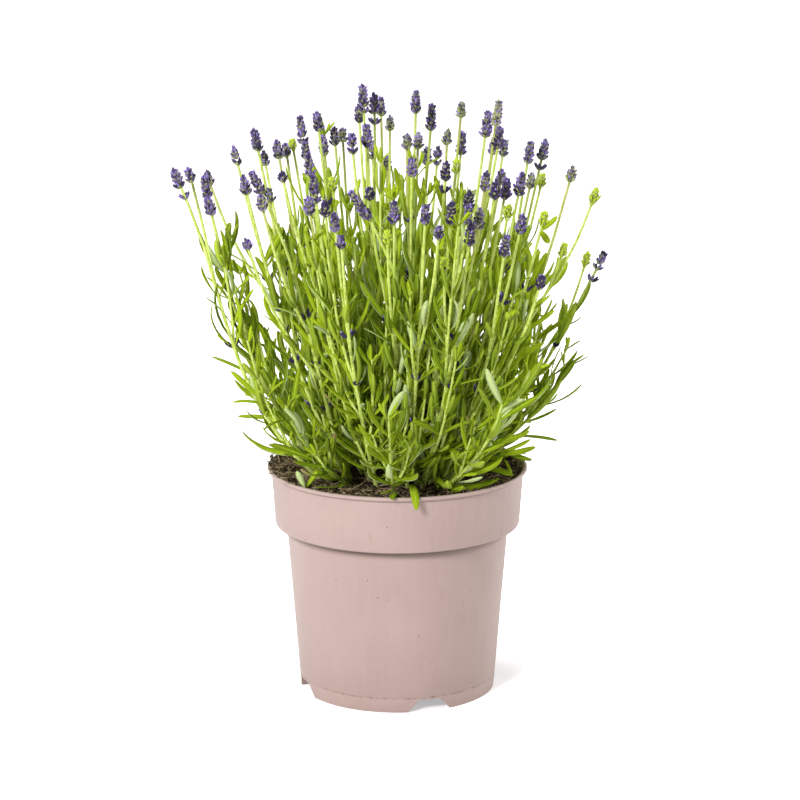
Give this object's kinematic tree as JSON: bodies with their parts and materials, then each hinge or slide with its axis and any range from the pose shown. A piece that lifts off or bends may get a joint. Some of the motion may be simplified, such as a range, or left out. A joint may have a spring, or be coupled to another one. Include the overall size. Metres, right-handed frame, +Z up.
{
  "type": "potted lavender",
  "caption": "Flowering lavender plant in a round tapered plastic nursery pot with a wide collar, filled with peat soil; slim stems with narrow leaves end in small violet spikes.",
  "frame": {"origin": "centre of the circle that the pot's foot stands on", "axes": "+Z up along the pot's axis, -Y towards the viewer, +X to the viewer's right"},
  "size_m": [0.2789, 0.285, 0.3975],
  "materials": {
    "pot_plastic": "satin moulded plastic",
    "soil": "moist crumbly peat, fully rough",
    "green_shoot": "fresh green stem, faintly glossy",
    "green_leaf": "fresh leaf, satin, paler underneath",
    "flower_bud": "matt downy violet bud"
  },
  "bodies": {
    "root": {"pot": "pot_plastic", "potting_soil": "soil", "flower_shoot_01": "green_shoot", "flower_shoot_02": "green_shoot", "flower_shoot_03": "green_shoot", "flower_shoot_04": "green_shoot", "flower_shoot_05": "green_shoot", "flower_shoot_06": "green_shoot", "flower_shoot_07": "green_shoot", "flower_shoot_08": "green_shoot", "flower_shoot_09": "green_shoot", "flower_shoot_10": "green_shoot", "flower_shoot_11": "green_shoot", "flower_shoot_12": "green_shoot", "flower_shoot_13": "green_shoot", "flower_shoot_14": "green_shoot", "flower_shoot_15": "green_shoot", "flower_shoot_16": "green_shoot", "flower_shoot_17": "green_shoot", "flower_shoot_18": "green_shoot", "flower_shoot_19": "green_shoot", "flower_shoot_20": "green_shoot", "flower_shoot_21": "green_shoot", "flower_shoot_22": "green_shoot", "flower_shoot_23": "green_shoot", "flower_shoot_24": "green_shoot", "flower_shoot_25": "green_shoot", "flower_shoot_26": "green_shoot", "flower_shoot_27": "green_shoot", "flower_shoot_28": "green_shoot", "flower_shoot_29": "green_shoot", "flower_shoot_30": "green_shoot", "flower_shoot_31": "green_shoot", "flower_shoot_32": "green_shoot", "flower_shoot_33": "green_shoot", "flower_shoot_34": "green_shoot", "flower_shoot_35": "green_shoot", "flower_shoot_36": "green_shoot", "flower_shoot_37": "green_shoot", "flower_shoot_38": "green_shoot", "flower_shoot_39": "green_shoot", "leafy_shoot_01": "green_leaf", "leafy_shoot_02": "green_leaf", "leafy_shoot_03": "green_leaf", "leafy_shoot_04": "green_leaf", "leafy_shoot_05": "green_leaf", "leafy_shoot_06": "green_leaf", "leafy_shoot_07": "green_leaf", "leafy_shoot_08": "green_leaf", "leafy_shoot_09": "green_leaf", "leafy_shoot_10": "green_leaf", "leafy_shoot_11": "green_leaf", "leafy_shoot_12": "green_leaf", "leafy_shoot_13": "green_leaf", "leafy_shoot_14": "green_leaf", "leafy_shoot_15": "green_leaf", "leafy_shoot_16": "green_leaf", "leafy_shoot_17": "green_leaf", "leafy_shoot_18": "green_leaf", "leafy_shoot_19": "green_leaf"}
  },
  "joints": []
}
